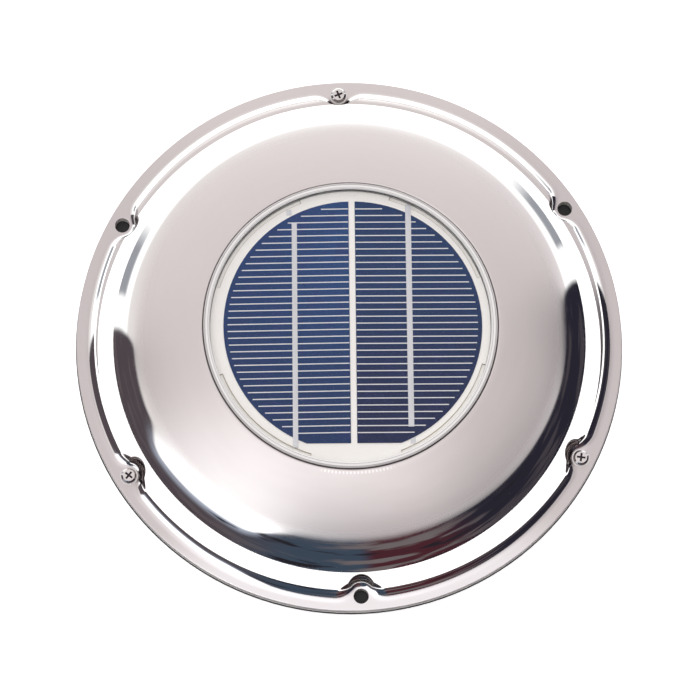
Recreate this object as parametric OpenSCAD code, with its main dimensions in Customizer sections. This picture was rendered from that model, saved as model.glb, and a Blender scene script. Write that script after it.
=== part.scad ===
// Low-profile solar roof ventilator (day/night attic, boat and camper fan).
// +Z is up, z = 0 is the roof surface the gasket lies on, the duct spigot hangs below it.

/* [Cover] */
// Outside radius of the steel cover flange
flange_r = 107.5; // [107.2:0.1:107.8]
// Sheet thickness of the stainless cover
steel_t = 0.7; // [0.6:0.1:0.8]
// Height of the flange top above the roof
flange_z = 5.2; // [5.1:0.1:5.4]
// Radius of the large crown curve
crown_r = 240; // [225:5:260]
// Radius at which the crown turns into the shoulder
shoulder_start = 83.7; // [83.4:0.1:84]
// Radius of the shoulder curve
shoulder_r = 25; // [24.5:0.1:25.5]
// Steepest slope of the side wall, degrees
wall_angle = 55; // [54.5:0.5:55.5]
// Length of the straight part of the side wall
wall_len = 7; // [6.8:0.1:7.2]
// Radius of the fillet at the foot of the wall
foot_r = 6.7; // [6.6:0.1:6.8]
// Radius of the circle the six fastener dimples stand on
bolt_ring_r = 101.8; // [101.6:0.1:102]
// Floor radius of a dimple
dimple_r = 6.2; // [6:0.1:6.4]
// Slope of the dimple walls, degrees
dimple_wall = 82; // [80:1:83]
// Radius of the three free deck screw holes
deck_hole_r = 2.95; // [2.8:0.05:3]

/* [Window] */
// Radius of the window seat in the cover
window_r = 57; // [57:0.1:57.2]
// Inside radius of the seat ledge
ledge_r = 52.5; // [52:0.1:53]
// Radius of the white carrier disc
carrier_r = 54.2; // [54:0.1:54.4]
// Radius of the solar cell disc
cell_r = 50; // [49:0.25:50.5]
// Gap between the two half cells
cell_gap = 2.4; // [1.6:0.1:3]
// Number of printed contact fingers on each half cell
finger_count = 34; // [30:1:34]
// Distance between contact fingers
finger_pitch = 2.71; // [2.6:0.01:2.74]
// Slant of the contact fingers on the left half cell, degrees
finger_slant = 0.8; // [0:0.1:1]
// Sideways shift of the cells in the window
cell_shift = 0.9; // [0:0.1:1.2]
// Turn of the cells in the window, degrees
cell_turn = -1.9; // [-3:0.1:0]

/* [Duct] */
// Outside radius of the duct spigot
duct_r = 59; // [58.8:0.1:59]
// Wall thickness of the duct
duct_t = 2; // [1.9:0.1:2]
// Length of the spigot below the roof
duct_depth = 36; // [36:1:44]
// Height of the rain collar above the roof
collar_z = 13; // [10:0.5:14]

/* [Fan] */
// Number of fan blades
blade_count = 7; // [5:1:9]
// Tip radius of the impeller
fan_r = 52; // [48:0.5:53]
// Pitch of the blades, degrees
blade_pitch = 28; // [24:1:32]
// Travel of the on/off slider
switch_travel = 4; // [3:0.5:4]

/* [Hidden] */
$fn = 96;

gasket_t = 1.2;
base_t = 1.2;
base_r = 107.6;
base_top = gasket_t + base_t;
flange_under = flange_z - steel_t;
dimple_z = flange_z - 0.1;
screw_angles = [90, 210, 330];
hole_angles = [30, 150, 270];
all_angles = concat(screw_angles, hole_angles);

// Dome profile, heights above the flange top, slopes measured from level.
wall_z = foot_r * (1 - cos(wall_angle)) + wall_len * sin(wall_angle);
crown_slope = asin(shoulder_start / crown_r);
shoulder_cz = wall_z - shoulder_r * cos(wall_angle);
shoulder_cr = shoulder_start - shoulder_r * sin(crown_slope);
crown_cz = shoulder_cz + (shoulder_r - crown_r) * cos(crown_slope);
foot_cr = shoulder_cr + (shoulder_r + foot_r) * sin(wall_angle) + wall_len * cos(wall_angle);

function crown(r, t) = [for (i = [0:6]) let (a = asin(r / crown_r) * (1 - i / 6) + crown_slope * i / 6)
    [(crown_r - t) * sin(a), crown_cz + (crown_r - t) * cos(a)]];
function shoulder(t) = [for (i = [1:10]) let (a = crown_slope + (wall_angle - crown_slope) * i / 10)
    [shoulder_cr + (shoulder_r - t) * sin(a), shoulder_cz + (shoulder_r - t) * cos(a)]];
function foot(t) = [for (i = [1:6]) let (a = wall_angle * (1 - i / 6))
    [foot_cr - (foot_r + t) * sin(a), foot_r - (foot_r + t) * cos(a)]];
function skin(r, t) = concat(crown(r, t), shoulder(t), foot(t));
function reversed(list) = [for (i = [len(list) - 1:-1:0]) list[i]];

ledge_z = flange_z + 21.6;
seal_t = 0.4;
carrier_z = ledge_z + seal_t;
carrier_t = 1.6;
cell_z = carrier_z + carrier_t;
cell_t = 0.25;
ribbon_t = 0.15;
lens_r = window_r - 0.2;
lens_under = cell_z + 0.7;
lens_t = 1.6;
bezel_w = 2.4;
bezel_h = 0.4;

housing_top = carrier_z;
housing_z = 8;
housing_r = 43.2;
housing_t = 1.8;
housing_flat = 31;
boss_angles = [10, 222, 318];
motor_r = 12.2;
motor_len = 12.3;
motor_z = housing_z + housing_t;
shaft_r = 1;
battery_r = 7.15;
battery_len = 48;
battery_y = 21.6;
battery_z = motor_z + battery_r + 0.9;
hinge_y = 33;
hinge_z = housing_top - 1.8;
pin_r = 1;
switch_y = -31;
fan_top = 4.6;
frame_lip_z = -duct_depth - 2;
lug_z = -duct_depth + 4.5;
lug_t = 1.7;
duct_in = duct_r - duct_t;
sleeve_r = duct_in - 2.2;

module at_angles(angles, r) {
    for (a = angles) rotate([0, 0, a]) translate([r, 0, 0]) children();
}

module tube(r_out, r_in, z0, z1) {
    translate([0, 0, z0]) difference() {
        cylinder(r = r_out, h = z1 - z0);
        translate([0, 0, -1]) cylinder(r = r_in, h = z1 - z0 + 2);
    }
}

module disc(r, z0, z1) {
    translate([0, 0, z0]) cylinder(r = r, h = z1 - z0);
}

module block(x0, x1, y0, y1, z0, z1) {
    translate([x0, y0, z0]) cube([x1 - x0, y1 - y0, z1 - z0]);
}

module rod_x(x0, x1, y, z, r) {
    translate([x0, y, z]) rotate([0, 90, 0]) cylinder(r = r, h = x1 - x0);
}

// Ring sector from angle -half to +half.
module sector(r_in, r_out, z0, z1, half) {
    translate([0, 0, z0]) rotate([0, 0, -half]) rotate_extrude(angle = 2 * half)
        translate([r_in, 0]) square([r_out - r_in, z1 - z0]);
}

// Wire through a list of points, with round elbows.
module wire(points, r) {
    for (i = [0:len(points) - 2]) {
        d = points[i + 1] - points[i];
        translate(points[i])
            rotate([0, acos(d[2] / norm(d)), atan2(d[1], d[0])])
                cylinder(r = r, h = norm(d), $fn = 24);
        if (i > 0) translate(points[i]) sphere(r = r + 0.1, $fn = 24);
    }
}

// Solid block under the outer skin, with the window seat let into it.
module cover_body() {
    seat = ledge_z - flange_z;
    translate([0, 0, flange_z]) rotate_extrude() polygon(concat(
        [[ledge_r, -steel_t], [ledge_r, seat], [window_r, seat]], skin(window_r, 0),
        [[flange_r, 0], [flange_r, -steel_t]]));
}

// Room under the inner skin.
module cover_room() {
    seat = ledge_z - flange_z;
    translate([0, 0, flange_z]) rotate_extrude() polygon(concat(
        [[0, -2], [0, seat - steel_t], [window_r + steel_t, seat - steel_t]],
        skin(window_r + steel_t, steel_t), [[foot_cr, -2]]));
}

// Conical pocket that grows wider upwards, and the same grown by the sheet thickness.
module dimple(grow) {
    lean = tan(90 - dimple_wall);
    wide = grow / sin(dimple_wall);
    z = grow > 0 ? -3 : dimple_z - flange_z;
    translate([0, 0, flange_z + z])
        cylinder(r1 = dimple_r + wide + z * lean, r2 = dimple_r + wide + 16 * lean, h = 16 - z);
}

module cover_dome() {
    color("silver") difference() {
        cover_body();
        difference() {
            cover_room();
            at_angles(all_angles, bolt_ring_r) dimple(steel_t);
        }
        at_angles(all_angles, bolt_ring_r) dimple(0);
        at_angles(hole_angles, bolt_ring_r) disc(deck_hole_r, 0, 12);
        at_angles(screw_angles, bolt_ring_r) disc(1.9, 0, 12);
    }
}

module window_seal() {
    color("black") tube(lens_r, ledge_r, ledge_z, carrier_z);
}

module window_lens() {
    top = lens_under + lens_t;
    color("lightcyan", 0.4) rotate_extrude() polygon([
        [0, lens_under], [carrier_r + 0.2, lens_under], [carrier_r + 0.2, carrier_z],
        [lens_r, carrier_z], [lens_r, top + bezel_h - 0.3], [lens_r - 0.3, top + bezel_h],
        [lens_r - bezel_w + 0.4, top + bezel_h], [lens_r - bezel_w, top], [0, top]]);
}

module rim_step() {
    intersection() {
        tube(carrier_r + 1, carrier_r - 1.3, cell_z - 0.6, cell_z + 1);
        translate([0, 0, cell_z - 1]) linear_extrude(height = 3)
            polygon([for (a = [0, 19, 45, 71]) (a > 0 ? 90 : 0) * [cos(a), sin(a)]]);
    }
}

module cell_carrier() {
    color("ivory") difference() {
        disc(carrier_r, carrier_z, cell_z);
        for (a = [0:90:270]) rotate([0, 0, a]) rim_step();
        for (p = [[-22, -41.8], [22, -39.8]]) translate([p[0], p[1], carrier_z - 1]) cylinder(r = 0.9, h = 3);
        at_angles(boss_angles, 36.5) disc(1.2, carrier_z - 1, cell_z - 0.5);
    }
}

module in_window() {
    translate([cell_shift, 0, 0]) rotate([0, 0, cell_turn]) children();
}

module half_cell(side) {
    color("midnightblue") in_window() intersection() {
        disc(cell_r, cell_z, cell_z + cell_t);
        block(side > 0 ? cell_gap / 2 : -60, side > 0 ? 60 : -cell_gap / 2, -46.6, 60,
            cell_z - 1, cell_z + 1);
    }
}

module solar_cell_left() { half_cell(-1); }
module solar_cell_right() { half_cell(1); }

module cell_fingers() {
    top = cell_z + cell_t;
    color("silver") in_window() for (i = [0:finger_count - 1]) {
        y = (i - (finger_count - 1) / 2) * finger_pitch + 2.2;
        start = cell_gap / 2 + 0.2;
        half = (sqrt(pow(cell_r - 1.6, 2) - y * y) - start) / 2;
        for (s = [-1, 1]) translate([s * (start + half), y, 0])
            rotate([0, 0, s > 0 ? 0 : finger_slant]) block(-half, half, -0.2, 0.2, top, top + 0.05);
    }
}

module cell_ribbons() {
    low = cell_z + cell_t + 0.05;
    color("gainsboro") in_window() {
        block(-23.4, -21.4, -48.2, 41.2, low, low + ribbon_t);
        block(20.9, 23.1, -40.3, 48.6, low, low + ribbon_t);
    }
}

module cover_screws() {
    color("silver") at_angles(screw_angles, bolt_ring_r) difference() {
        union() {
            disc(3.5, dimple_z, dimple_z + 0.5);
            disc(3, dimple_z, dimple_z + 1.4);
            translate([0, 0, dimple_z + 1.4]) cylinder(r1 = 3, r2 = 2.3, h = 0.5);
            disc(1.75, gasket_t + 0.2, dimple_z + 0.1);
        }
        for (a = [20, 110]) rotate([0, 0, a]) block(-1.7, 1.7, -0.4, 0.4, dimple_z + 0.9, dimple_z + 3);
    }
}

module base_ring() {
    in_r = duct_r + 0.6;
    color("white") difference() {
        union() {
            tube(base_r, in_r, gasket_t, base_top);
            tube(duct_r + 4, in_r, gasket_t, base_top + 1);
            at_angles(all_angles, bolt_ring_r) disc(5.2, gasket_t, flange_under);
            for (a = [0:30:330]) rotate([0, 0, a])
                block(duct_r + 1, duct_r + 13, -0.8, 0.8, gasket_t, base_top + 1.8);
        }
        at_angles(hole_angles, bolt_ring_r) disc(deck_hole_r, 0, 12);
        at_angles(screw_angles, bolt_ring_r) disc(3.2, 0, 12);
    }
}

// Duct pipe: rain collar above, spigot below, three bayonet lugs inside.
module duct_sleeve() {
    color("white") {
        tube(duct_r, duct_in, -duct_depth, 0);
        tube(duct_r + 0.6, duct_in, 0, collar_z);
        for (a = [60, 180, 300]) rotate([0, 0, a])
            sector(duct_in - 1.8, duct_in + 0.5, lug_z, lug_z + lug_t, 6);
    }
}

module thread_inserts() {
    color("goldenrod") at_angles(screw_angles, bolt_ring_r) tube(3.2, 1.78, gasket_t, flange_under);
}

module roof_gasket() {
    color("black") difference() {
        tube(base_r + 0.4, duct_r + 1, 0, gasket_t);
        at_angles(hole_angles, bolt_ring_r) disc(deck_hole_r, -1, 3);
    }
}

module housing_outline(r, flat) {
    intersection() {
        circle(r = r);
        translate([-60, -60]) square([120, 60 + flat]);
    }
}

module motor_housing() {
    in_r = housing_r - housing_t;
    bay_top = battery_z + battery_r + 0.6;
    color("white") difference() {
        union() {
            translate([0, 0, housing_z]) linear_extrude(height = housing_top - housing_z)
                housing_outline(housing_r, housing_flat);
            for (x = [-29.6, 27.8])
                block(x, x + 1.8, housing_flat - 1, hinge_y + 1.6, hinge_z - 1.6, housing_top - 0.3);
        }
        difference() {
            translate([0, 0, motor_z]) linear_extrude(height = 30)
                housing_outline(in_r, housing_flat - housing_t);
            tube(motor_r + 1.5, motor_r + 0.05, motor_z - 1, motor_z + 9);
            at_angles(boss_angles, 36.5) disc(3.4, motor_z - 1, housing_top);
            for (x = [-18, 15]) block(x, x + 3, motor_r + 1, housing_flat, motor_z - 1, battery_z - battery_r);
        }
        block(-27, 27, housing_flat - 3, housing_flat + 1, motor_z + 0.6, bay_top);
        for (x = [-23, 21]) block(x, x + 2, -45, -32, 24, housing_top + 1);
        disc(3.3, housing_z - 1, motor_z + 1);
        at_angles(boss_angles, 36.5) {
            disc(1.5, housing_z - 1, housing_top + 1);
            disc(2.8, housing_z - 1, housing_z + 1.6);
        }
        block(-3.8, 3.8, switch_y - 1.7, switch_y + 1.7, housing_z - 1, motor_z + 1);
        rod_x(-30, 30, hinge_y, hinge_z, pin_r);
    }
}

module housing_screws() {
    color("silver") at_angles(boss_angles, 36.5) difference() {
        union() {
            disc(2.6, housing_z - 0.2, housing_z + 1.6);
            disc(1.15, housing_z + 1, cell_z - 0.6);
        }
        for (a = [0, 90]) rotate([0, 0, a]) block(-1.4, 1.4, -0.3, 0.3, housing_z - 1, housing_z + 0.8);
    }
}

module battery_cell() {
    color("green") {
        rod_x(-battery_len / 2, battery_len / 2, battery_y, battery_z, battery_r);
        rod_x(battery_len / 2 - 0.5, battery_len / 2 + 1.4, battery_y, battery_z, 2.7);
    }
}

module battery_terminals() {
    x1 = battery_len / 2 + 1.4;
    color("silver") {
        block(x1, x1 + 0.4, battery_y - 5, battery_y + 5, motor_z, battery_z + 5);
        block(-x1 - 1.9, -x1 - 1.5, battery_y - 5, battery_y + 5, motor_z, battery_z + 5);
        for (i = [0:2]) rod_x(-x1 - 1.5 + i * 0.95, -x1 - 1.5 + (i + 1) * 0.95 + (i < 2 ? 0.1 : 0.05),
            battery_y, battery_z, 4.2 - i * 0.8);
    }
}

module battery_door() {
    color("white") difference() {
        union() {
            block(-28.6, 28.6, housing_flat + 0.35, housing_flat + 1.95, housing_z + 0.4, hinge_z - 2.2);
            block(-27.4, 27.4, housing_flat + 0.6, housing_flat + 1.95, hinge_z - 3, hinge_z);
            rod_x(-27.4, 27.4, hinge_y, hinge_z, pin_r + 0.5);
            block(-6, 6, housing_flat + 1.9, housing_flat + 3.4, housing_z + 0.4, housing_z + 1.8);
            for (i = [0:3]) block(-8, 8, housing_flat + 1.9, housing_flat + 2.3,
                housing_z + 3.5 + i * 1.6, housing_z + 4.2 + i * 1.6);
        }
        rod_x(-30, 30, hinge_y, hinge_z, pin_r + 0.05);
    }
}

module door_hinge_pin() {
    color("silver") rod_x(-29.6, 29.6, hinge_y, hinge_z, pin_r);
}

module switch_body() {
    color("dimgray") difference() {
        block(-6.5, 6.5, switch_y - 3.4, switch_y + 3.4, motor_z, motor_z + 5);
        block(-5.4, 5.4, switch_y - 2.4, switch_y + 2.4, motor_z - 1, motor_z + 3.4);
    }
}

module switch_slider() {
    x = -switch_travel / 2;
    color("red") {
        block(x - 1.5, x + 1.5, switch_y - 1.4, switch_y + 1.4, housing_z - 2, motor_z + 1.5);
        block(x - 2.6, x + 2.6, switch_y - 2.1, switch_y + 2.1, motor_z + 0.3, motor_z + 2.8);
    }
}

module circuit_board() {
    color("darkgreen") difference() {
        block(-34, -20, -14, 10, motor_z, motor_z + 1.2);
        for (y = [-12, 8]) translate([-32, y, motor_z - 1]) cylinder(r = 0.8, h = 4, $fn = 24);
    }
}

module board_parts() {
    top = motor_z + 1.2;
    color("black") {
        block(-30, -25, -2, 2, top, top + 1.6);
        translate([-24.5, 5.5, top]) cylinder(r = 2.5, h = 7);
        block(-31, -27, -9, -7, top, top + 1.1);
        block(-25, -22.5, -8, -4, top, top + 0.9);
    }
}

// Leads from board to motor tab, board to battery contact, and cell to board.
module lead_positive() {
    top = motor_z + 1.2;
    color("red") {
        wire([[-24, -12, top], [-24, -12, 24.6], [6, -12, 24.6], [6, 0, 24.6],
            [6, 0, motor_z + motor_len + 1]], 0.6);
        wire([[-29, 8.8, top], [-29, 8.8, 21], [-29, 18, 21], [-27.3, 18, 21]], 0.6);
        wire([[22, -39.8, cell_z - 0.3], [22, -39.8, 25], [22, -20, 25], [-29.5, -20, 25],
            [-29.5, -13, 25], [-29.5, -13, top]], 0.6);
    }
}

module lead_negative() {
    top = motor_z + 1.2;
    color("black") {
        wire([[-22.5, 0, top], [-22.5, 0, 24.6], [-6, 0, 24.6], [-6, 0, motor_z + motor_len + 1]], 0.6);
        wire([[-22, -41.8, cell_z - 0.3], [-22, -41.8, 25], [-22, -30, 25], [-22, -30, 22.8],
            [-22, -16.5, 22.8], [-32.8, -16.5, 22.8], [-32.8, -5, 22.8], [-32.8, -5, top]], 0.6);
    }
}

module motor_can() {
    color("silver") difference() {
        disc(motor_r, motor_z, motor_z + motor_len - 1);
        disc(motor_r - 0.7, motor_z + 0.7, motor_z + motor_len);
        disc(3, motor_z - 1, motor_z + 2);
    }
}

module motor_end_cap() {
    top = motor_z + motor_len;
    color("black") difference() {
        union() {
            disc(motor_r, top - 1, top);
            disc(3, top - 1, top + 0.8);
            for (s = [-1, 1]) block(min(s * 5, s * 7), max(s * 5, s * 7), -1, 1, top - 0.5, top + 1);
        }
        disc(shaft_r + 0.05, top - 2, top + 0.2);
    }
}

module motor_magnets() {
    color("dimgray") for (a = [0, 180]) rotate([0, 0, a])
        sector(9.2, motor_r - 0.7, motor_z + 1.5, motor_z + 10, 62);
}

module motor_bushing() {
    color("goldenrod") union() {
        tube(3, shaft_r + 0.04, motor_z - 2.6, motor_z + 0.7);
        tube(3.6, shaft_r + 0.04, motor_z + 0.7, motor_z + 1.3);
    }
}

module motor_shaft() {
    color("silver") disc(shaft_r, fan_top - 7.5, motor_z + motor_len);
}

module motor_armature() {
    color("peru") difference() {
        disc(8.6, motor_z + 2.4, motor_z + 9);
        at_angles([60, 180, 300], 6.8) block(-3, 3, -0.9, 0.9, motor_z + 2, motor_z + 10);
        disc(shaft_r, motor_z, motor_z + 12);
    }
}

module fan_impeller() {
    hub_r = 13.5;
    hub_z = fan_top - 11;
    color("white") difference() {
        union() {
            disc(hub_r, hub_z, fan_top);
            intersection() {
                tube(fan_r, hub_r - 0.6, -30, fan_top + 4);
                for (i = [0:blade_count - 1]) rotate([0, 0, i * 360 / blade_count])
                    translate([0, 0, hub_z + 5.5]) rotate([blade_pitch, 0, 0])
                        block(hub_r - 2, 60, -10.5, 10.5, -0.7, 0.7);
            }
        }
        difference() {
            disc(hub_r - 1.6, hub_z - 1, fan_top - 1.6);
            disc(3.4, hub_z, fan_top);
            for (a = [0:60:300]) rotate([0, 0, a]) block(3, hub_r, -0.6, 0.6, hub_z + 2, fan_top);
        }
        disc(shaft_r, hub_z - 1, fan_top + 1);
    }
}

module hub_cap() {
    z = fan_top - 11;
    color("gray") {
        tube(11.6, 9.8, z, z + 1.9);
        disc(13.2, z - 1.4, z);
        translate([0, 0, z - 2.6]) cylinder(r1 = 10.5, r2 = 13.2, h = 1.2);
    }
}

module screen_frame() {
    lip_top = -duct_depth - 0.3;
    tab_z = lug_z + lug_t + 0.4;
    color("white") difference() {
        union() {
            tube(sleeve_r, sleeve_r - 1.8, frame_lip_z, tab_z + 1.6);
            tube(duct_r - 0.8, sleeve_r - 1.8, frame_lip_z, lip_top);
            for (a = [60, 180, 300]) rotate([0, 0, a])
                sector(sleeve_r - 0.5, duct_in - 0.5, tab_z, tab_z + 1.6, 5);
        }
        disc(sleeve_r - 1.2, lip_top, lip_top + 0.5);
    }
}

module screen_grille() {
    lip_top = -duct_depth - 0.3;
    r = sleeve_r - 1.8;
    color("white") intersection() {
        disc(r, frame_lip_z, lip_top);
        union() {
            for (a = [0, 60, 120]) rotate([0, 0, a]) block(-r - 1, r + 1, -1, 1, frame_lip_z, lip_top);
            tube(31, 29, frame_lip_z, lip_top);
            disc(9, frame_lip_z, lip_top);
        }
    }
}

module insect_screen() {
    r = sleeve_r - 1.2;
    z = -duct_depth - 0.3;
    wires = 6;
    pitch = 8.3;
    color("gray") {
        tube(r, r - 1.6, z, z + 0.5);
        for (a = [0, 90]) rotate([0, 0, a]) for (i = [-wires:wires]) {
            half = sqrt(pow(r - 1, 2) - pow(i * pitch, 2));
            block(-half, half, i * pitch - 0.25, i * pitch + 0.25, z, z + 0.5);
        }
    }
}

cover_dome();
window_seal();
window_lens();
cell_carrier();
solar_cell_left();
solar_cell_right();
cell_fingers();
cell_ribbons();
cover_screws();
base_ring();
duct_sleeve();
thread_inserts();
roof_gasket();
motor_housing();
housing_screws();
battery_cell();
battery_terminals();
battery_door();
door_hinge_pin();
switch_body();
switch_slider();
circuit_board();
board_parts();
lead_positive();
lead_negative();
motor_can();
motor_end_cap();
motor_magnets();
motor_bushing();
motor_shaft();
motor_armature();
fan_impeller();
hub_cap();
screen_frame();
screen_grille();
insect_screen();
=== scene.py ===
"""Looks of the low round solar roof ventilator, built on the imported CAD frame."""
import math

import bmesh
import bpy
import numpy as np
from mathutils import Matrix, Vector


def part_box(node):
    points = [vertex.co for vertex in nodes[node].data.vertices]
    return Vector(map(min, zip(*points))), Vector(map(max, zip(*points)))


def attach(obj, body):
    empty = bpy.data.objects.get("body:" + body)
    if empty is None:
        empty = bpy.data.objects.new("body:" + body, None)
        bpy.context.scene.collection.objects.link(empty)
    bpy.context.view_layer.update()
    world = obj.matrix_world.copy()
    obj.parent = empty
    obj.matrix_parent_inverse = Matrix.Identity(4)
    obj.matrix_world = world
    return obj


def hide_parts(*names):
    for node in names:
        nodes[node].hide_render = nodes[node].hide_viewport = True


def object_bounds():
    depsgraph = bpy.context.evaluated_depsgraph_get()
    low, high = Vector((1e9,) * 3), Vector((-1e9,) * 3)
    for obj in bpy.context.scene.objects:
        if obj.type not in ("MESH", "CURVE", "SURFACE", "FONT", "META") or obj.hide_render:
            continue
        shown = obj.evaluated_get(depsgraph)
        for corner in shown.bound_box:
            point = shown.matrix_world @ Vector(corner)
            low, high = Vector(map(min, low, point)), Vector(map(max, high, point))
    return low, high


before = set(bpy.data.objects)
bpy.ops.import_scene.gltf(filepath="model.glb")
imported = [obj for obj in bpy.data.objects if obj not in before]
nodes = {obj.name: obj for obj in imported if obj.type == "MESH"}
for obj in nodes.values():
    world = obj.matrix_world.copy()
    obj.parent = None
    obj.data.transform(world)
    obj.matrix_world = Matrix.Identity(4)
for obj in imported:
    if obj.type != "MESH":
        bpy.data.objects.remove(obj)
CAD_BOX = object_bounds()
MM = 0.001

# ---------------------------------------------------------------- dimensions of the cover, in mm
FLANGE_R, STEEL_T, FLANGE_Z = 107.5, 0.7, 5.2
CROWN_R, SHOULDER_START, SHOULDER_R = 240.0, 83.7, 25.0
WALL, WALL_LEN, FOOT_R, BOLT_R = math.radians(55), 7.0, 6.7, 101.8
DIMPLE_R, DIMPLE_FILLET, DIMPLE_WALL = 2.6, 3.4, math.radians(82)
DIMPLE_REACH, DIMPLE_INNER_R = 24.0, 84.0
BLEND_MOST, BLEND_LEAST, BLEND_TAPER, BLEND_SOFT, BLEND_LEVELS = 8.5, 1.5, 0.7, 1.4, 32
WINDOW_R, LEDGE_R, SEAT_Z = 57.0, 52.5, 21.6
HOLE_R, SCREW_HOLE_R = 2.95, 1.9
SCREW_ANGLES = (90, 210, 330)
HOLE_ANGLES = (30, 150, 270)
CROWN_SLOPE = math.asin(SHOULDER_START / CROWN_R)
WALL_Z = FOOT_R * (1 - math.cos(WALL)) + WALL_LEN * math.sin(WALL)
SHOULDER_CZ = WALL_Z - SHOULDER_R * math.cos(WALL)
SHOULDER_CR = SHOULDER_START - SHOULDER_R * math.sin(CROWN_SLOPE)
CROWN_CZ = SHOULDER_CZ + (SHOULDER_R - CROWN_R) * math.cos(CROWN_SLOPE)
FOOT_CR = SHOULDER_CR + (SHOULDER_R + FOOT_R) * math.sin(WALL) + WALL_LEN * math.cos(WALL)
WALL_R = SHOULDER_CR + SHOULDER_R * math.sin(WALL)


# ---------------------------------------------------------------- materials
def new_material(name):
    mat = bpy.data.materials.new(name)
    mat.use_nodes = True
    tree = mat.node_tree
    return mat, tree, tree.nodes["Principled BSDF"]


def maths(tree, op, a, b=None, clamp=False):
    n = tree.nodes.new("ShaderNodeMath")
    n.operation = op
    n.use_clamp = clamp
    for i, v in enumerate((a, b)):
        if v is None:
            continue
        if isinstance(v, (int, float)):
            n.inputs[i].default_value = v
        else:
            tree.links.new(v, n.inputs[i])
    return n.outputs[0]


def times(tree, first, *others):
    """Product of sockets and numbers."""
    for other in others:
        first = maths(tree, "MULTIPLY", first, other)
    return first


def distance(tree, value, at):
    """How far a value is from a number."""
    return maths(tree, "ABSOLUTE", maths(tree, "SUBTRACT", value, at))


def span(tree, value, lo, hi, to_lo=0.0, to_hi=1.0, smooth=True):
    """Maps lo..hi to to_lo..to_hi and holds the ends; lo may be the larger."""
    n = tree.nodes.new("ShaderNodeMapRange")
    n.interpolation_type = "SMOOTHSTEP" if smooth else "LINEAR"
    tree.links.new(value, n.inputs["Value"])
    for key, v in (("From Min", lo), ("From Max", hi), ("To Min", to_lo), ("To Max", to_hi)):
        n.inputs[key].default_value = v
    return n.outputs["Result"]


def mix(tree, fac, a, b):
    n = tree.nodes.new("ShaderNodeMix")
    n.data_type = "RGBA"
    if isinstance(fac, (int, float)):
        n.inputs["Factor"].default_value = fac
    else:
        tree.links.new(fac, n.inputs["Factor"])
    for key, v in (("A", a), ("B", b)):
        socket = [s for s in n.inputs if s.name == key and s.type == "RGBA"][0]
        if isinstance(v, tuple):
            socket.default_value = (*v, 1) if len(v) == 3 else v
        else:
            tree.links.new(v, socket)
    return [s for s in n.outputs if s.type == "RGBA"][0]


def place(tree, output="Object"):
    """Where a point is on its object, or its normal or direction."""
    return tree.nodes.new("ShaderNodeTexCoord").outputs[output]


def split(tree, vector):
    """The x, y and z of a vector."""
    sep = tree.nodes.new("ShaderNodeSeparateXYZ")
    tree.links.new(vector, sep.inputs[0])
    return sep.outputs["X"], sep.outputs["Y"], sep.outputs["Z"]


def noise(tree, vector, scale, detail=3.0, rough=0.5, stretch=None):
    n = tree.nodes.new("ShaderNodeTexNoise")
    n.inputs["Scale"].default_value = scale
    n.inputs["Detail"].default_value = detail
    n.inputs["Roughness"].default_value = rough
    if stretch:
        m = tree.nodes.new("ShaderNodeMapping")
        m.inputs["Scale"].default_value = stretch
        tree.links.new(vector, m.inputs["Vector"])
        vector = m.outputs["Vector"]
    tree.links.new(vector, n.inputs["Vector"])
    return n.outputs["Fac"]


def bump(tree, bsdf, height, strength, distance=0.0002):
    n = tree.nodes.new("ShaderNodeBump")
    n.inputs["Strength"].default_value = strength
    n.inputs["Distance"].default_value = distance
    tree.links.new(height, n.inputs["Height"])
    tree.links.new(n.outputs["Normal"], bsdf.inputs["Normal"])


def uneven_gloss(tree, bsdf, vector, scale, detail, lo, hi, cut=(0.3, 0.7)):
    """Roughness that wanders between lo and hi."""
    tree.links.new(span(tree, noise(tree, vector, scale, detail), *cut, lo, hi), bsdf.inputs["Roughness"])


def two_shades(tree, fac, color, vary):
    """A colour that wanders between a slightly darker and a slightly lighter one."""
    dark = tuple(c * (1 - vary) for c in color)
    lite = tuple(min(1, c * (1 + vary)) for c in color)
    return mix(tree, fac, dark, lite)


def radius_of(tree, vector):
    """Distance from the fan's axis."""
    flat = tree.nodes.new("ShaderNodeVectorMath")
    flat.operation = "MULTIPLY"
    flat.inputs[1].default_value = (1, 1, 0)
    tree.links.new(vector, flat.inputs[0])
    size = tree.nodes.new("ShaderNodeVectorMath")
    size.operation = "LENGTH"
    tree.links.new(flat.outputs["Vector"], size.inputs[0])
    return size.outputs["Value"]


def around(tree, vector):
    """(radius, way round, height) of a point, so that grain can run round the axis."""
    typical_radius = 0.08
    x, y, z = split(tree, vector)
    comb = tree.nodes.new("ShaderNodeCombineXYZ")
    tree.links.new(radius_of(tree, vector), comb.inputs["X"])
    tree.links.new(times(tree, maths(tree, "ARCTAN2", y, x), typical_radius), comb.inputs["Y"])
    tree.links.new(z, comb.inputs["Z"])
    return comb.outputs[0]


def plastic(name, color, rough=0.4, grain=900, depth=0.15, vary=0.06):
    """Moulded plastic: fine texture, slight shade changes and slightly uneven gloss."""
    mat, tree, bsdf = new_material(name)
    p = place(tree)
    tree.links.new(two_shades(tree, noise(tree, p, 35, 4), color, vary), bsdf.inputs["Base Color"])
    uneven_gloss(tree, bsdf, p, 60, 3, rough - 0.06, rough + 0.08)
    bump(tree, bsdf, noise(tree, p, grain, 2), depth, 0.00008)
    return mat


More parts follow.
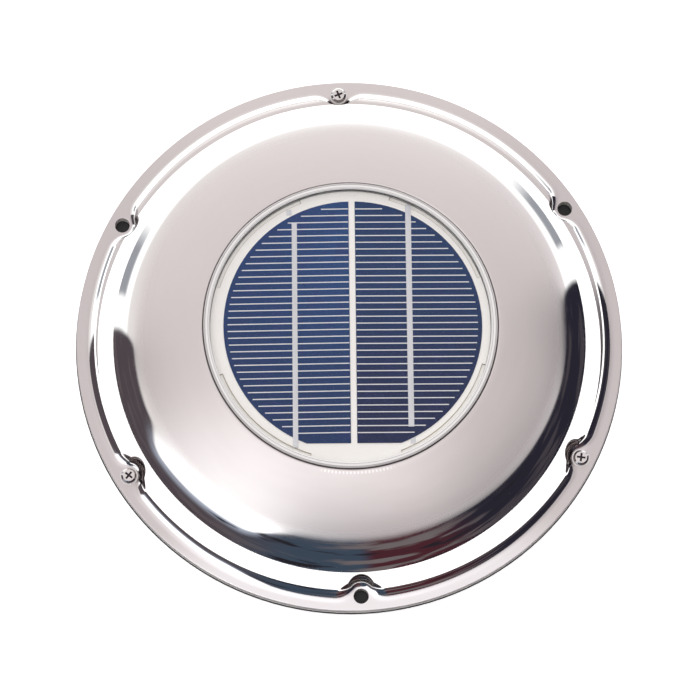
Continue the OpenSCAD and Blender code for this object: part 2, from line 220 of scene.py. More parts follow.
def metal(name, color, rough=0.25, stretch=(1, 1, 1), grain=400, depth=0.12, vary=0.06):
    """Bare or plated metal with a fine grain, drawn out along the short side of stretch."""
    mat, tree, bsdf = new_material(name)
    p = place(tree)
    bsdf.inputs["Metallic"].default_value = 1.0
    shade = noise(tree, p, grain, 3, stretch=stretch)
    tree.links.new(two_shades(tree, shade, color, vary), bsdf.inputs["Base Color"])
    uneven_gloss(tree, bsdf, p, 70, 4, max(0.02, rough - 0.05), rough + 0.08)
    bump(tree, bsdf, shade, depth, 0.00005)
    return mat


# Where the cover's finish, its painted sheen and its painted shade change: radii, heights and y in metres,
# the tilt as the normal's z
CROWN_FADE_R = (0.0795, 0.0866)
FLANGE_FADE_R, FLANGE_FADE_Z = (0.0975, 0.0985), (0.00545, 0.00570)
FLANGE_SHEEN_Y = (-0.070, -0.095)
STEEP_SHADE_TILT = (0.55, 0.42)
MARK_IN_R, MARK_OUT_R = (0.0579, 0.0582), (0.0592, 0.0588)
MARK_ARC, MARKS_PER_RADIAN = (0.26, 0.20), 260.0

STEEL_SATIN = (0.745, 0.705, 0.70), (0.775, 0.735, 0.73)
STEEL_POLISHED = (0.90, 0.895, 0.885), (0.93, 0.93, 0.92)
STEEL_STREAK = (0.70, 0.66, 0.655)
# painted shade on the flange's sides and painted sheen on its near side
STEEL_FLANGE_SIDE_SHADE = (0.66, 0.62, 0.625)
STEEL_FLANGE_NEAR_SHEEN = (0.97, 0.955, 0.97)
STEEL_MARK = (0.97, 0.95, 0.95)
# painted shade on faces steeper than the wall
STEEL_STEEP_SHADE = (0.25, 0.215, 0.215)


def near_side_dashes(tree, x, y, r):
    """Short dashes close to the window on the near side."""
    turn = maths(tree, "ARCTAN2", x, times(tree, y, -1.0))
    dash = span(tree, maths(tree, "SINE", times(tree, turn, MARKS_PER_RADIAN)), 0.0, 0.5)
    ring = times(tree, span(tree, r, *MARK_IN_R), span(tree, r, *MARK_OUT_R))
    return times(tree, dash, ring, span(tree, maths(tree, "ABSOLUTE", turn), *MARK_ARC))


def stainless_cover():
    """Satin crown and flange, mirror-polished shoulder and wall.

    The flange has painted shade at both sides and a painted sheen on the near side. Faces that are
    steeper than the wall, in the dimples and at the flange's cut edge, are painted dark as shade."""
    mat, tree, bsdf = new_material("stainless_cover")
    p = place(tree)
    x, y, z = split(tree, p)
    r = radius_of(tree, p)
    crown = span(tree, r, *CROWN_FADE_R, 1, 0)
    flange = times(tree, span(tree, r, *FLANGE_FADE_R), span(tree, z, *FLANGE_FADE_Z, 1, 0))
    satin = maths(tree, "MAXIMUM", crown, flange)
    swirl = noise(tree, around(tree, p), 260, 4, 0.6, stretch=(1, 0.12, 0.3))
    cloud = noise(tree, p, 26, 3)

    rough_satin = maths(tree, "ADD", span(tree, swirl, 0.3, 0.7, 0.285, 0.305), times(tree, flange, 0.04))
    rough_polish = span(tree, noise(tree, p, 90, 5), 0.35, 0.75, 0.03, 0.07)
    rough = tree.nodes.new("ShaderNodeMix")
    tree.links.new(satin, rough.inputs[0])
    tree.links.new(rough_polish, rough.inputs[2])
    tree.links.new(rough_satin, rough.inputs[3])
    tree.links.new(rough.outputs[0], bsdf.inputs["Roughness"])
    tangent = tree.nodes.new("ShaderNodeTangent")
    tangent.direction_type = "RADIAL"
    tangent.axis = "Z"
    tree.links.new(tangent.outputs[0], bsdf.inputs["Tangent"])
    bsdf.inputs["Anisotropic Rotation"].default_value = 0.25
    tree.links.new(times(tree, crown, 0.3), bsdf.inputs["Anisotropic"])

    side = maths(tree, "DIVIDE", maths(tree, "ABSOLUTE", x), maths(tree, "MAXIMUM", r, 0.01))
    warm = mix(tree, cloud, *STEEL_SATIN)
    warm = mix(tree, times(tree, span(tree, swirl, 0.35, 0.65), 0.12), warm, STEEL_STREAK)
    # painted shade at the flange's sides, then painted sheen on its near side
    warm = mix(tree, times(tree, span(tree, side, 0.35, 0.95), flange), warm, STEEL_FLANGE_SIDE_SHADE)
    warm = mix(tree, times(tree, span(tree, y, *FLANGE_SHEEN_Y), flange), warm, STEEL_FLANGE_NEAR_SHEEN)
    # light dashes just outside the window, on the near side only
    warm = mix(tree, times(tree, near_side_dashes(tree, x, y, r), 0.8), warm, STEEL_MARK)
    tilt = split(tree, place(tree, "Normal"))[2]
    base = mix(tree, satin, mix(tree, cloud, *STEEL_POLISHED), warm)
    # painted shade on faces steeper than the wall, picked by the normal's tilt
    base = mix(tree, span(tree, tilt, *STEEP_SHADE_TILT), base, STEEL_STEEP_SHADE)
    tree.links.new(base, bsdf.inputs["Base Color"])
    bsdf.inputs["Metallic"].default_value = 1.0
    return mat


def screw_head():
    """Bright pan head whose recess and side, between two heights, are painted dark as shade."""
    shade_from, shade_to = (0.00565, 0.00575), (0.00662, 0.00645)
    mat, tree, bsdf = new_material("screw_head")
    p = place(tree)
    z = split(tree, p)[2]
    low = times(tree, span(tree, z, *shade_from), span(tree, z, *shade_to))
    shade = noise(tree, p, 900, 3)
    bright = mix(tree, shade, (0.74, 0.72, 0.715), (0.84, 0.82, 0.81))
    # painted shade in the recess and on the head's side
    tree.links.new(mix(tree, low, bright, (0.05, 0.04, 0.045)), bsdf.inputs["Base Color"])
    bsdf.inputs["Metallic"].default_value = 1.0
    uneven_gloss(tree, bsdf, p, 300, 4, 0.14, 0.26)
    bump(tree, bsdf, shade, 0.1, 0.00005)
    return mat


def silicon(name, deep, mid, lite):
    """Blue coated polycrystalline silicon: crystal patches and violet clouds under a glossy coating.

    lite is the tone towards the middle of the window and deep the one towards the near side."""
    mat, tree, bsdf = new_material(name)
    p = place(tree)
    crystals = tree.nodes.new("ShaderNodeTexVoronoi")
    crystals.inputs["Scale"].default_value = 160
    tree.links.new(p, crystals.inputs["Vector"])
    patch = tree.nodes.new("ShaderNodeSeparateColor")
    tree.links.new(crystals.outputs["Color"], patch.inputs[0])
    x, y, _ = split(tree, p)
    base = mix(tree, span(tree, x, -0.044, 0.0), mid, lite)
    base = mix(tree, span(tree, y, 0.03, -0.045), base, deep)
    violet = tuple(c * k for c, k in zip(mid, (1.9, 0.8, 1.05)))
    base = mix(tree, times(tree, span(tree, noise(tree, p, 150, 4), 0.52, 0.68), 0.3), base, violet)
    base = mix(tree, times(tree, patch.outputs[0], 0.15), base, deep)
    tree.links.new(base, bsdf.inputs["Base Color"])
    bsdf.inputs["Specular IOR Level"].default_value = 0.06
    uneven_gloss(tree, bsdf, p, 120, 4, 0.22, 0.34)
    bump(tree, bsdf, patch.outputs[1], 0.03, 0.00002)
    return mat


# Radii in metres; a painted shade line on the bezel is its radius, its half width and its shade
FROSTED_FROM_R = (0.05425, 0.05445)
BEZEL_SHADE_LINES = ((0.05622, 0.0003, 0.36), (0.0551, 0.0002, 0.5))
# painted shade towards the lens's outer edge
BEZEL_OUTER_SHADE_R = (0.0562, 0.0565)


def clear_lens():
    """Clear moulding over the cell; its skirt and bezel look frosted against the white seal, with painted
    shade lines on the bezel and painted shade at its outer edge.
    """
    mat, tree, bsdf = new_material("clear_lens")
    p = place(tree)
    r = radius_of(tree, p)
    base = mix(tree, noise(tree, p, 30, 2), (0.86, 0.855, 0.84), (0.92, 0.915, 0.90))
    # painted shade lines on the bezel
    for at, wide, shade in BEZEL_SHADE_LINES:
        line = span(tree, distance(tree, r, at), 0.0, wide, 1, 0)
        base = mix(tree, line, base, (shade, shade * 0.96, shade * 0.94))
    # painted shade at the lens's outer edge
    base = mix(tree, span(tree, r, *BEZEL_OUTER_SHADE_R), base, (0.60, 0.575, 0.57))
    tree.links.new(base, bsdf.inputs["Base Color"])
    bsdf.inputs["IOR"].default_value = 1.49
    frosted = span(tree, r, *FROSTED_FROM_R)
    tree.links.new(span(tree, frosted, 0, 1, 0.015, 1.0, smooth=False), bsdf.inputs["Alpha"])
    uneven_gloss(tree, bsdf, p, 300, 4, 0.06, 0.14, cut=(0.45, 0.8))
    return mat


def carrier_plastic():
    """Off-white carrier with painted shade lines that draw its rim stepping down between four tabs."""
    tabs, tab_half, step_r = 4, math.radians(19), 0.0529
    mat = plastic("carrier_abs", (0.95, 0.935, 0.895), 0.42, 700, 0.1, 0.02)
    tree = mat.node_tree
    color = tree.nodes["Principled BSDF"].inputs["Base Color"]
    p = place(tree)
    r = radius_of(tree, p)
    x, y, _ = split(tree, p)
    turn = times(tree, maths(tree, "ARCTAN2", y, x), float(tabs))
    tab = maths(tree, "SUBTRACT", maths(tree, "COSINE", turn), math.cos(tabs * tab_half))
    arc = span(tree, distance(tree, r, step_r), 0.00006, 0.00022, 1, 0)
    arc = times(tree, arc, span(tree, tab, 0.004, -0.004))
    side = span(tree, maths(tree, "ABSOLUTE", tab), 0.004, 0.016, 1, 0)
    side = times(tree, side, span(tree, r, step_r - 0.0001, step_r + 0.0001))
    plain = color.links[0].from_socket
    # painted shade along the rim's step, on its arc and at the tabs' sides
    tree.links.new(mix(tree, maths(tree, "MAXIMUM", arc, side), plain, (0.50, 0.455, 0.37)), color)
    return mat


def rubber(name, color=(0.025, 0.025, 0.026)):
    """Dull, slightly blotchy rubber."""
    return plastic(name, color, 0.62, 1500, 0.35, 0.2)


MATERIALS = {
    "steel": stainless_cover(),
    "lens": clear_lens(),
    "white": plastic("white_abs", (0.80, 0.79, 0.755), 0.38),
    "carrier": carrier_plastic(),
    "impeller": plastic("impeller_abs", (0.78, 0.78, 0.76), 0.33, 700),
    "black": plastic("black_plastic", (0.02, 0.02, 0.022), 0.4, 900, 0.2, 0.3),
    "red": plastic("red_plastic", (0.55, 0.03, 0.02), 0.35, 900, 0.2, 0.1),
    "rubber": rubber("gasket_rubber"),
    "silicone": rubber("white_silicone", (0.70, 0.70, 0.67)),
    "head": screw_head(),
    "screw": metal("screw_steel", (0.80, 0.79, 0.78), 0.14, (1, 1, 6), 500, 0.08),
    "can": metal("motor_can_steel", (0.70, 0.70, 0.68), 0.24, (1, 1, 0.05), 900, 0.15),
    "tin": metal("tinned_ribbon", (0.71, 0.73, 0.76), 0.38, (1, 0.1, 1), 700, 0.3, 0.1),
    "brass": metal("brass", (0.78, 0.60, 0.27), 0.28, (1, 1, 4), 500, 0.1),
    "copper": metal("copper_winding", (0.72, 0.36, 0.20), 0.32, (0.2, 0.2, 6), 1400, 0.5, 0.2),
    "magnet": plastic("ferrite", (0.06, 0.06, 0.062), 0.55, 1200, 0.4, 0.25),
    "mesh": metal("mesh_wire", (0.62, 0.62, 0.61), 0.30, (1, 1, 1), 1500, 0.2, 0.12),
    "board": plastic("solder_mask", (0.02, 0.16, 0.07), 0.25, 800, 0.1, 0.2),
    "battery": plastic("battery_sleeve", (0.05, 0.26, 0.13), 0.22, 300, 0.05, 0.1),
    "lead_red": rubber("lead_red", (0.55, 0.03, 0.02)),
    "lead_black": rubber("lead_black", (0.018, 0.018, 0.018)),
    "cell_left": silicon("silicon_left", (0.011, 0.034, 0.115), (0.014, 0.044, 0.15),
                         (0.016, 0.060, 0.19)),
    "cell_right": silicon("silicon_right", (0.010, 0.018, 0.070), (0.011, 0.038, 0.122),
                          (0.012, 0.041, 0.13)),
    "finger": metal("finger_silver", (0.80, 0.82, 0.84), 0.45, (1, 1, 1), 900, 0.2, 0.06),
}


def dress(node, key, bevel=0.0, segments=2):
    """Gives a CAD piece its material and, if bevel is more than 0, rounded edges of so many mm."""
    obj = nodes[node]
    obj.data.materials.clear()
    obj.data.materials.append(MATERIALS[key])
    if bevel:
        mod = obj.modifiers.new("edge", "BEVEL")
        mod.width = bevel * MM
        mod.segments = segments
        mod.limit_method = "ANGLE"
        mod.angle_limit = math.radians(35)


# ---------------------------------------------------------------- mesh helpers
BOX_FACES = ((3, 2, 1, 0), (4, 5, 6, 7), (0, 1, 5, 4), (1, 2, 6, 5), (2, 3, 7, 6), (3, 0, 4, 7))


def box_corners(x, y, z):
    """The corners of a box from its two x, y and z, in the order that BOX_FACES expects."""
    return [(a, b, c) for c in z for a, b in ((x[0], y[0]), (x[1], y[0]), (x[1], y[1]), (x[0], y[1]))]


def spread(lo, hi, step):
    """Even steps from lo, the last one short of hi."""
    return list(np.arange(lo, hi - step * 0.5, step))


def fastener_spot(angle, z):
    """A place on the bolt circle, in metres, from its angle in degrees and its height in mm."""
    q = math.radians(angle)
    return BOLT_R * MM * math.cos(q), BOLT_R * MM * math.sin(q), z * MM


def mesh_object(name, verts, faces, key, body=None, smooth=True):
    """Object of vertices in metres, with a material and, if one is named, a body to ride on."""
    data = bpy.data.meshes.new(name)
    data.from_pydata([tuple(v) for v in verts], [], faces)
    data.validate()
    data.update()
    if smooth:
        data.polygons.foreach_set("use_smooth", [True] * len(data.polygons))
    obj = bpy.data.objects.new(name, data)
    bpy.context.scene.collection.objects.link(obj)
    obj.data.materials.append(MATERIALS[key])
    if body:
        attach(obj, body)
    return obj


def profile(r):
    """Height of the plain dome's outer skin above the flange's top, at an array of radii."""
    crown = CROWN_CZ + np.sqrt(CROWN_R ** 2 - r * r)
    shoulder = SHOULDER_CZ + np.sqrt(np.clip(SHOULDER_R ** 2 - (r - SHOULDER_CR) ** 2, 0, None))
    foot = FOOT_R - np.sqrt(np.clip(FOOT_R ** 2 - np.clip(FOOT_CR - r, 0, None) ** 2, 0, None))
    wall = WALL_Z - (r - WALL_R) * math.tan(WALL)
    wall_end = WALL_R + WALL_LEN * math.cos(WALL)
    side = np.where(r <= WALL_R, shoulder, np.where(r <= wall_end, wall, foot))
    return np.where(r <= SHOULDER_START, crown, side)


def pocket(s):
    """Wall height at distance s from the foot of a dimple's wall."""
    run = DIMPLE_FILLET * math.sin(DIMPLE_WALL)
    curve = DIMPLE_FILLET - np.sqrt(np.clip(DIMPLE_FILLET ** 2 - np.clip(s, 0, run) ** 2, 0, None))
    return curve + np.clip(s - run, 0, None) * math.tan(DIMPLE_WALL)


def blend_height(s, w):
    """Height at distance s from the foot, between the dome's own wall (w = 0) and a dimple's (w = 1).

    The two walls are blended sideways, level by level, and not in height."""
    z = np.linspace(0, 26, 1041)
    inward = np.linspace(0, 50, 4001)
    dome_s = np.interp(z, profile(FOOT_CR - inward), inward)
    dimple_s = np.interp(z, pocket(inward), inward)
    level = np.clip(w, 0, 1) * BLEND_LEVELS
    low = np.minimum(level.astype(int), BLEND_LEVELS - 1)
    out = np.zeros_like(s)
    for i in range(BLEND_LEVELS):
        here = low == i
        if here.any():
            a, b = (np.interp(s[here], dome_s * (1 - v) + dimple_s * v, z)
                    for v in (i / BLEND_LEVELS, (i + 1) / BLEND_LEVELS))
            out[here] = a + (b - a) * (level[here] - i)
    return out


def skin_height(x, y):
    """Height of the dome with the six bell-shaped dimples pressed in, above the flange's top."""
    r = np.hypot(x, y)
    dome = profile(r)
    z = dome.copy()
    for a in SCREW_ANGLES + HOLE_ANGLES:
        t = math.radians(a)
        d = np.hypot(x - BOLT_R * math.cos(t), y - BOLT_R * math.sin(t))
        near = (d < DIMPLE_REACH) & (r < FOOT_CR) & (r > DIMPLE_INNER_R)
        if not near.any():
            continue
        s1, s2 = FOOT_CR - r[near], d[near] - DIMPLE_R
        k = np.clip(BLEND_MOST - BLEND_TAPER * s1, BLEND_LEAST, BLEND_MOST)
        w = np.clip(0.5 + 0.5 * (s1 - s2) / k, 0, 1)
        s = np.clip(s1 * (1 - w) + s2 * w - k * w * (1 - w), 0, None)
        soft = np.maximum(BLEND_SOFT * w * w, 1e-6)
        low = np.minimum(blend_height(s, w), dome[near] + soft)
        h = np.clip(soft - np.abs(dome[near] - low), 0, None) / soft
        z[near] = np.minimum(z[near], np.minimum(dome[near], low) - h ** 3 * soft / 6)
    return np.where(r >= FOOT_CR, 0.0, np.clip(z, 0, None))


def cover_rings():
    """The cover's skin as closed rings of points, from the window seat out over the top and back under."""
    dense, sparse, dimple_half, pitch = 0.2, 1.0, 7, 60
    angles = []
    for a in range(-30, 330, pitch):
        angles += spread(a - dimple_half, a + dimple_half, dense)
        angles += spread(a + dimple_half, a + pitch - dimple_half, sparse)
    t = np.radians(angles)
    radii = []
    for lo, hi, step in ((57.9, 84, 1.6), (84, 88, 0.8), (88, 91, 0.4), (91, 105.2, 0.22)):
        radii += spread(lo, hi, step)
    radii = np.array(radii + [105.2, 106.2, 107.0, FLANGE_R - 0.25])

    def surface(rr, tt):
        x, y = rr * np.cos(tt), rr * np.sin(tt)
        return np.stack([x, y, FLANGE_Z + skin_height(x, y)], -1)

    def circles(profile_points):
        return [np.stack([r * np.cos(t), r * np.sin(t), np.full_like(t, FLANGE_Z + z)], -1)
                for r, z in profile_points]

    rr, tt = np.meshgrid(radii, t, indexing="ij")
    top = surface(rr, tt)
    nudge = 0.06
    du = surface(rr + nudge, tt) - surface(rr - nudge, tt)
    dv = surface(rr, tt + nudge / rr) - surface(rr, tt - nudge / rr)
    normal = np.cross(du, dv)
    normal /= np.linalg.norm(normal, axis=-1, keepdims=True)
    under = top - normal * STEEL_T

    # (radius, height over the flange's top) round the edges: the window seat, the flange's cut
    # edge and the back of the seat
    lip = float(profile(np.array(WINDOW_R + 0.6)))
    floor = SEAT_Z - STEEL_T
    seat = [(LEDGE_R, floor + 0.1), (LEDGE_R, SEAT_Z - 0.05), (LEDGE_R + 0.1, SEAT_Z),
            (WINDOW_R - 0.4, SEAT_Z), (WINDOW_R - 0.1, SEAT_Z + 0.1), (WINDOW_R, SEAT_Z + 0.4),
            (WINDOW_R, lip - 0.75), (WINDOW_R + 0.06, lip - 0.4), (WINDOW_R + 0.2, lip - 0.16),
            (WINDOW_R + 0.5, lip - 0.02)]
    edge = [(FLANGE_R - 0.08, -0.08), (FLANGE_R, -0.25), (FLANGE_R, -0.45),
            (FLANGE_R - 0.08, -0.62), (FLANGE_R - 0.25, -STEEL_T)]
    back = [(WINDOW_R + 0.72, lip - 1.2), (WINDOW_R + 0.7, SEAT_Z), (WINDOW_R + 0.5, SEAT_Z - 0.55),
            (WINDOW_R, floor), (LEDGE_R + 0.1, floor)]
    return circles(seat) + list(top) + circles(edge) + list(under[-2::-1]) + circles(back)


def cut_fastener_holes(cover):
    """Cuts the three free holes and, under the screw heads, the three screw holes."""
    bm = bmesh.new()
    for a in SCREW_ANGLES + HOLE_ANGLES:
        hole = (HOLE_R if a in HOLE_ANGLES else SCREW_HOLE_R) * MM
        bmesh.ops.create_cone(bm, cap_ends=True, segments=64, radius1=hole, radius2=hole, depth=4 * MM,
                              matrix=Matrix.Translation(fastener_spot(a, FLANGE_Z)))
    data = bpy.data.meshes.new("cutter")
    bm.to_mesh(data)
    bm.free()
    cutter = bpy.data.objects.new("cutter", data)
    bpy.context.scene.collection.objects.link(cutter)
    mod = cover.modifiers.new("holes", "BOOLEAN")
    mod.object = cutter
    mod.operation = "DIFFERENCE"
    mod.solver = "EXACT"
    bpy.context.view_layer.objects.active = cover
    bpy.ops.object.modifier_apply(modifier=mod.name)
    bpy.data.objects.remove(cutter)


def build_cover():
    """Smooth cover in place of the CAD one, with the same sizes and a finer skin at the dimples."""
    rings = cover_rings()
    n, count = len(rings[0]), len(rings)
    verts = np.concatenate(rings) * MM
    i, k = np.meshgrid(np.arange(count), np.arange(n), indexing="ij")
    j, m = (i + 1) % count, (k + 1) % n
    faces = np.stack([i * n + k, j * n + k, j * n + m, i * n + m], -1).reshape(-1, 4)
    cover = mesh_object("cover_skin", verts.tolist(), faces.tolist(), "steel")
    bm = bmesh.new()
    bm.from_mesh(cover.data)
    bmesh.ops.recalc_face_normals(bm, faces=bm.faces)
    bm.to_mesh(cover.data)
    bm.free()
    cut_fastener_holes(cover)
    bevel = cover.modifiers.new("edge", "BEVEL")
    bevel.width = 0.12 * MM
    bevel.segments = 2
    bevel.limit_method = "ANGLE"
    bevel.angle_limit = math.radians(60)
    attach(cover, "vent")
    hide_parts("cover_dome")


def build_hole_shade_films():
    """Thin dark rubber discs in the gasket's deck screw holes, a dark sheet that stands in for the shade
    inside the holes.
    """
    film_r, film_t, film_z = HOLE_R - 0.02, 0.5, 0.6
    for i, a in enumerate(HOLE_ANGLES):
        bpy.ops.mesh.primitive_cylinder_add(vertices=48, radius=film_r * MM, depth=film_t * MM,
                                            location=fastener_spot(a, film_z))
        film = bpy.context.object
        film.name = "hole_shade_film_%d" % (i + 1)
        # dark disc as painted shade in the hole
        film.data.materials.append(MATERIALS["rubber"])
        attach(film, "vent")


def build_solder_pads():
    """Tinned pads on the carrier at the free ends of the two half cells."""
    half_x, half_y, thick, spots = 1.0, 1.1, 0.2, ((-22.0, 46.4), (22.0, -46.4))
    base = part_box("solar_cell_left")[0][2] / MM
    for i, (x, y) in enumerate(spots):
        corners = box_corners((x - half_x, x + half_x), (y - half_y, y + half_y), (base, base + thick))
        pad = mesh_object("solder_pad_%d" % (i + 1), [(a * MM, b * MM, c * MM) for a, b, c in corners],
                          BOX_FACES, "tin", "vent", smooth=False)


def build_screen_mesh():
    """Insect screen with its fine wires, in the room of the coarse CAD grid."""
    half, pitch, overlap, rim, wire_end = 0.14, 1.5, 0.02, 1.6, 0.8
    (x0, _, z0), (x1, _, z1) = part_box("insect_screen")
    r, low, high = (x1 - x0) / 2 / MM, z0 / MM, z1 / MM
    mid, most = (low + high) / 2, int((r - 1) / pitch)
    verts, faces = [], []
    for crosswise, layer in enumerate(((low, mid + overlap), (mid - overlap, high))):
        for i in range(-most, most + 1):
            at = i * pitch
            reach = math.sqrt((r - wire_end) ** 2 - at * at)
            first = len(verts)
            wire = box_corners((-reach, reach), (at - half, at + half), layer)
            verts += [(-v, u, z) for u, v, z in wire] if crosswise else wire
            faces += [[first + k for k in f] for f in BOX_FACES]
    ring, first = 96, len(verts)
    for rr, z in ((r, low), (r, high), (r - rim, high), (r - rim, low)):
        for k in range(ring):
            t = 2 * math.pi * k / ring
            verts.append((rr * math.cos(t), rr * math.sin(t), z))
    for i in range(4):
        for k in range(ring):
            m, j = (k + 1) % ring, (i + 1) % 4
            faces.append([first + i * ring + k, first + i * ring + m,
                          first + j * ring + m, first + j * ring + k])
    weave = mesh_object("screen_weave", [(x * MM, y * MM, z * MM) for x, y, z in verts], faces, "mesh",
                        smooth=False)
    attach(weave, "screen")
    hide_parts("insect_screen")


# ---------------------------------------------------------------- pieces
# The node, its material, its bevel in mm and the bevel's segments
for piece in (
    ("window_seal", "silicone"),
    ("window_lens", "lens", 0.15),
    ("cell_carrier", "carrier", 0.12),
    ("solar_cell_left", "cell_left"),
    ("solar_cell_right", "cell_right"),
    ("cell_fingers", "finger"),
    ("cell_ribbons", "tin"),
    ("cover_screws", "head", 0.12),
    ("base_ring", "white", 0.2),
    ("duct_sleeve", "white", 0.2),
    ("thread_inserts", "brass", 0.1),
    ("roof_gasket", "rubber", 0.2),
    ("motor_housing", "white", 0.3),
    ("housing_screws", "screw", 0.1),
    ("battery_cell", "battery", 0.4, 3),
    ("battery_terminals", "tin", 0.08),
    ("battery_door", "white", 0.25),
    ("door_hinge_pin", "screw", 0.15),
    ("switch_body", "black", 0.2),
    ("switch_slider", "red", 0.2),
    ("circuit_board", "board", 0.08),
    ("board_parts", "black", 0.15),
    ("lead_positive", "lead_red"),
    ("lead_negative", "lead_black"),
    ("motor_can", "can", 0.3),
    ("motor_end_cap", "black", 0.2),
    ("motor_magnets", "magnet", 0.2),
    ("motor_bushing", "brass", 0.08),
    ("motor_shaft", "screw", 0.1),
    ("motor_armature", "copper", 0.2),
    ("fan_impeller", "impeller", 0.25),
    ("hub_cap", "impeller", 0.3),
    ("screen_frame", "white", 0.25),
    ("screen_grille", "white", 0.25),
    ("insect_screen", "mesh", 0.1),
):
    dress(*piece)
build_cover()
build_hole_shade_films()
build_screen_mesh()
build_solder_pads()


# ---------------------------------------------------------------- floor, light and camera
def build_floor(size=6.0, drop=0.0002, color=(0.95, 0.95, 0.95), glow=0.75):
    """White floor just under the part; it glows a little, so that it stays white under the rim."""
    mat, tree, bsdf = new_material("floor")
    cloud = noise(tree, place(tree), 6, 2)
    tree.links.new(mix(tree, cloud, tuple(c * 0.99 for c in color), color), bsdf.inputs["Base Color"])
    bsdf.inputs["Roughness"].default_value = 0.8
    bsdf.inputs["Emission Color"].default_value = (*color, 1)
    bsdf.inputs["Emission Strength"].default_value = glow
    bpy.ops.mesh.primitive_plane_add(size=size, location=(0, 0, CAD_BOX[0][2] - drop))
    floor = bpy.context.object
    floor.name = "floor"
    floor.data.materials.append(mat)


def soft_box(name, place_at, size, power):
    """Rectangular area light that looks at the origin."""
    light = bpy.data.lights.new(name, "AREA")
    light.shape = "RECTANGLE"
    light.size, light.size_y = size
    light.energy = power
    obj = bpy.data.objects.new(name, light)
    obj.location = place_at
    obj.rotation_euler = (-Vector(place_at)).to_track_quat("-Z", "Y").to_euler()
    bpy.context.scene.collection.objects.link(obj)
    return obj


# What the polished steel mirrors. Limits are of a direction's unit vector: ASIDE and AHEAD are x
# and y of its level part, AHEAD being towards the back, and HEIGHT is z.
# A dim room low on the near side, with four tones from left to right and pale and black patches
ROOM_AHEAD, ROOM_HEIGHT, ROOM_SKEW, ROOM_RISE = (0.385, 0.35), (0.74, 0.66), 0.06, -0.19
ROOM_LEFT = (0.080, 0.064, 0.074)
ROOM_STEPS = (((-0.75, -0.30), (0.048, 0.068, 0.102)),
              ((0.02, 0.12), (0.070, 0.020, 0.028)),
              ((0.40, 0.70), (0.022, 0.020, 0.032)))
PALE, PALE_CUT, BLACK, BLACK_CUT = (0.16, 0.135, 0.14), (0.52, 0.60), (0.02, 0.018, 0.024), (0.42, 0.36)
PALE_RIGHT_FADE, PALE_LEFT_FADE = (0.80, 0.40, 0.25, 1.0), (-0.30, 0.05, 0.30, 1.0)
# A bright window high at the room's left, with a bluish edge
WINDOW_ASIDE, WINDOW_AHEAD, WINDOW_LIFT = (-0.40, -0.62), (-0.06, -0.34), 0.30
WINDOW_GLASS, WINDOW_GLASS_HEIGHT = (1.36, 1.36, 1.37), (0.90, 0.74)
WINDOW_EDGE, WINDOW_EDGE_HEIGHT = (0.42, 0.46, 0.56), (0.48, 0.70)
# A ceiling with a glow over the near left
CEILING_FROM = (0.44, 0.54)
CEILING_LEFT, CEILING_RIGHT, CEILING_X = (0.86, 0.815, 0.81), (0.81, 0.76, 0.765), (0.10, 0.60)
GLOW, GLOW_TOWARD, GLOW_FADE = (1.40, 1.35, 1.36), (-0.14, -0.44, 0.88), (0.80, 0.97)
# White walls with a grey strip low at the back
WALL_WHITE, WALL_STRIP = (1.35, 1.35, 1.35), (0.35, 0.36, 0.40)
STRIP_FROM, STRIP_TO, STRIP_HEIGHT = (0.48, 0.52), (0.78, 0.66), (0.36, 0.24)


def room_color(tree, direction, aside, window, lifted):
    """The dim room with the window's edge in it."""
    tone = ROOM_LEFT
    for limits, color in ROOM_STEPS:
        tone = mix(tree, span(tree, aside, *limits), tone, color)
    tone = mix(tree, times(tree, window, span(tree, lifted, *WINDOW_EDGE_HEIGHT)), tone, WINDOW_EDGE)
    shape = noise(tree, direction, 1.9, 3, 0.55, stretch=(1, 1, 2.4))
    pale = times(tree, span(tree, shape, *PALE_CUT), span(tree, aside, *PALE_RIGHT_FADE),
                 span(tree, aside, *PALE_LEFT_FADE))
    return mix(tree, span(tree, shape, *BLACK_CUT), mix(tree, pale, tone, PALE), BLACK)


def bright_color(tree, direction, x, z, edge, window, height):
    """White walls low down and the ceiling above, with its glow and the window's glass."""
    toward = tree.nodes.new("ShaderNodeVectorMath")
    toward.operation = "DOT_PRODUCT"
    toward.inputs[1].default_value = Vector(GLOW_TOWARD).normalized()
    tree.links.new(direction, toward.inputs[0])
    ceiling = mix(tree, span(tree, x, *CEILING_X), CEILING_LEFT, CEILING_RIGHT)
    ceiling = mix(tree, span(tree, toward.outputs["Value"], *GLOW_FADE), ceiling, GLOW)
    glass = times(tree, window, span(tree, height, *WINDOW_GLASS_HEIGHT))
    ceiling = mix(tree, glass, ceiling, WINDOW_GLASS)
    strip = times(tree, span(tree, edge, *STRIP_FROM), span(tree, edge, *STRIP_TO),
                  span(tree, z, *STRIP_HEIGHT))
    wall = mix(tree, strip, WALL_WHITE, WALL_STRIP)
    return mix(tree, span(tree, z, *CEILING_FROM), wall, ceiling)


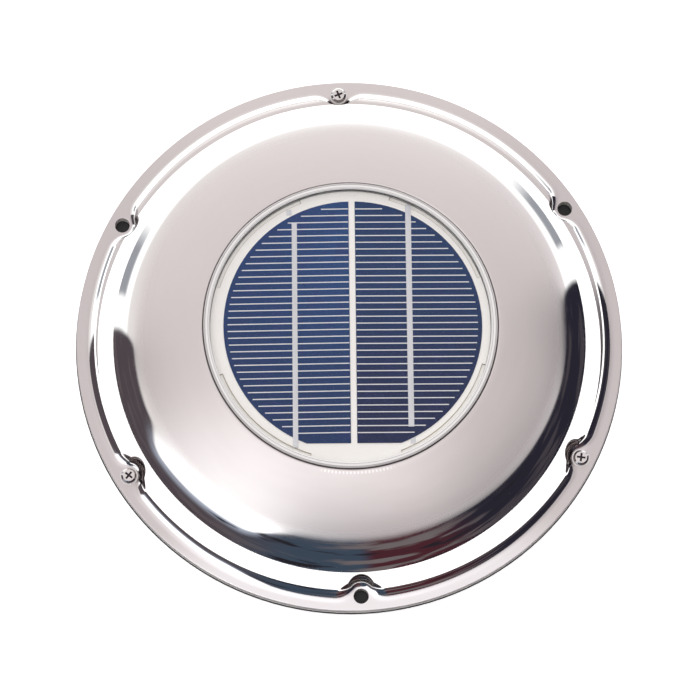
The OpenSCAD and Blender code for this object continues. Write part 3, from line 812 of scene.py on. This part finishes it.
def set_world():
    """White studio ceiling and walls, with a dim room low on the near side and a window at its left."""
    world = bpy.data.worlds.new("studio")
    bpy.context.scene.world = world
    world.use_nodes = True
    tree = world.node_tree
    back = tree.nodes["Background"]
    direction = place(tree, "Generated")
    x, y, z = split(tree, direction)
    flat = maths(tree, "MAXIMUM", radius_of(tree, direction), 0.001)
    ahead, aside = maths(tree, "DIVIDE", y, flat), maths(tree, "DIVIDE", x, flat)
    edge = maths(tree, "SUBTRACT", ahead, times(tree, aside, ROOM_SKEW))
    window = times(tree, span(tree, aside, *WINDOW_ASIDE), span(tree, ahead, *WINDOW_AHEAD))
    height = maths(tree, "SUBTRACT", z, maths(tree, "MULTIPLY", ahead, ROOM_RISE, clamp=True))
    lifted = maths(tree, "ADD", height, times(tree, window, WINDOW_LIFT))
    in_room = times(tree, span(tree, edge, *ROOM_AHEAD), span(tree, lifted, *ROOM_HEIGHT))
    room = room_color(tree, direction, aside, window, lifted)
    bright = bright_color(tree, direction, x, z, edge, window, height)
    tree.links.new(mix(tree, in_room, bright, room), back.inputs["Color"])
    back.inputs["Strength"].default_value = 1.0


# The camera: lens in mm, shift in frame widths, angles in degrees, offsets in metres
LENS, SHIFT = 154.29, 0.00157
ROLL, TILT, TURN = -3.54, 14.32, 5.95
AWAY, OFFSET_X, OFFSET_Y = 1.1821, 0.00027, 0.00406


def aim_camera():
    """Looks down at the flange's plane from a little to the near side."""
    data = bpy.data.cameras.new("camera")
    cam = bpy.data.objects.new("camera", data)
    bpy.context.scene.collection.objects.link(cam)
    bpy.context.scene.camera = cam
    data.sensor_width = 36
    data.lens = LENS
    data.clip_start, data.clip_end = 0.05, 20
    data.shift_x = data.shift_y = SHIFT
    to_view = (Matrix.Rotation(math.radians(ROLL), 4, "Z") @ Matrix.Rotation(-math.radians(TILT), 4, "X")
               @ Matrix.Rotation(math.radians(TURN), 4, "Z") @ Matrix.Translation((0, 0, -FLANGE_Z * MM)))
    to_camera = Matrix.Translation((OFFSET_X, OFFSET_Y, -AWAY)) @ to_view
    cam.matrix_world = to_camera.inverted()


build_floor()
set_world()
soft_box("near_left", (-0.50, -0.52, 0.93), size=(0.36, 0.26), power=0.13)
fill = soft_box("fill", (0.1, 0.25, 1.5), size=(0.8, 0.8), power=5.4)
fill.visible_glossy = False
aim_camera()
bpy.context.scene.view_settings.view_transform = "Standard"
